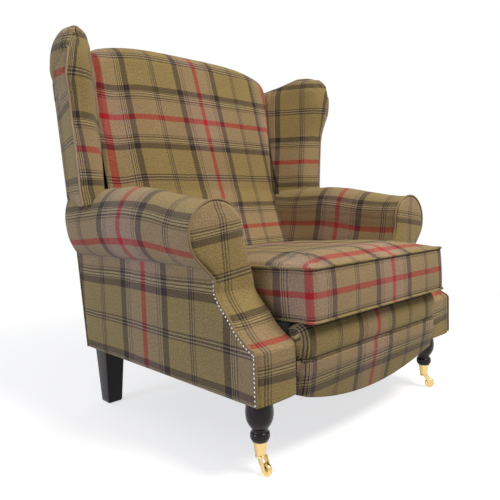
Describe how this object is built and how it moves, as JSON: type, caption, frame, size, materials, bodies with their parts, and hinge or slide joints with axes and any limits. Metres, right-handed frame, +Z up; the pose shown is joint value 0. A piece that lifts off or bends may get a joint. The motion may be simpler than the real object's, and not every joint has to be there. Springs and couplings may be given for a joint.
{
  "type": "fireside chair",
  "caption": "Fireside wing chair with scroll arms and a loose seat cushion, in tartan wool, on turned front legs with brass castors and tapered rear legs.",
  "frame": {"origin": "on the floor under the middle of the chair's bounding box", "axes": "+Z up, -Y is the chair's front where the sitter's legs come over the edge, +X is the sitter's left as seen from behind the chair: the chair's right in a view of its front"},
  "size_m": [1.0262, 0.8847, 1.054],
  "materials": {
    "wool_tartan": "woven wool tartan, olive and beige with dark brown bands and red stripes",
    "wool_piping": "piping cord covered in the same wool",
    "black_cloth": "plain black lining cloth",
    "jute": "woven jute strap",
    "beech": "planed bare beech",
    "mahogany": "dark stained, polished",
    "brass": "polished",
    "steel": "bright steel",
    "pewter_nails": "aged pewter tone, domed"
  },
  "bodies": {
    "chair": {"front_rail": "beech", "rear_rail": "beech", "side_rail_left": "beech", "side_rail_right": "beech", "front_post_left": "beech", "front_post_right": "beech", "back_post_left": "beech", "back_post_right": "beech", "crest_rail": "beech", "stay_rail": "beech", "arm_rail_left": "beech", "arm_rail_right": "beech", "wing_board_left": "beech", "wing_board_right": "beech", "corner_blocks": "beech", "seat_webbing": "jute", "back_webbing": "jute", "seat_deck": "black_cloth", "outside_arm_left": "wool_tartan", "outside_arm_right": "wool_tartan", "arm_pad_left": "wool_tartan", "arm_pad_right": "wool_tartan", "arm_facing_left": "wool_tartan", "arm_facing_right": "wool_tartan", "wing_left": "wool_tartan", "wing_right": "wool_tartan", "inside_back": "wool_tartan", "outside_back": "wool_tartan", "border_roll": "wool_tartan", "front_apron": "wool_tartan", "dust_cover": "black_cloth", "facing_piping_left": "wool_piping", "facing_piping_right": "wool_piping", "border_piping": "wool_piping", "nailheads_left": "pewter_nails", "nailheads_right": "pewter_nails", "front_leg_left": "mahogany", "front_leg_right": "mahogany", "rear_leg_left": "mahogany", "rear_leg_right": "mahogany", "leg_bolts": "steel", "rear_glides": "steel", "castor_cup_left": "brass", "castor_cup_right": "brass", "swivel_pin_left": "brass", "swivel_pin_right": "brass"},
    "cushion": {"seat_cushion": "wool_tartan", "cushion_piping": "wool_piping", "cushion_zip": "black_cloth"},
    "castor_left": {"castor_horn_left": "brass", "axle_pin_left": "steel"},
    "castor_right": {"castor_horn_right": "brass", "axle_pin_right": "steel"},
    "wheel_left": {"castor_wheel_left": "brass"},
    "wheel_right": {"castor_wheel_right": "brass"}
  },
  "joints": [
    {"name": "castor_swivel_left", "type": "hinge", "parent": "chair", "child": "castor_left", "pos_m": [-0.343, -0.34359, 0.03845], "axis": [0, 0, 1], "continuous": true},
    {"name": "castor_swivel_right", "type": "hinge", "parent": "chair", "child": "castor_right", "pos_m": [0.343, -0.34359, 0.03845], "axis": [0, 0, 1], "continuous": true},
    {"name": "castor_roll_left", "type": "hinge", "parent": "castor_left", "child": "wheel_left", "pos_m": [-0.343, -0.36059, 0.014], "axis": [1, 0, 0], "continuous": true},
    {"name": "castor_roll_right", "type": "hinge", "parent": "castor_right", "child": "wheel_right", "pos_m": [0.35502, -0.35561, 0.014], "axis": [0.7071, 0.7071, 0], "continuous": true},
    {"name": "cushion_lift", "type": "slide", "parent": "chair", "child": "cushion", "axis": [0, 0, 1], "range_m": [0, 0.3]}
  ]
}
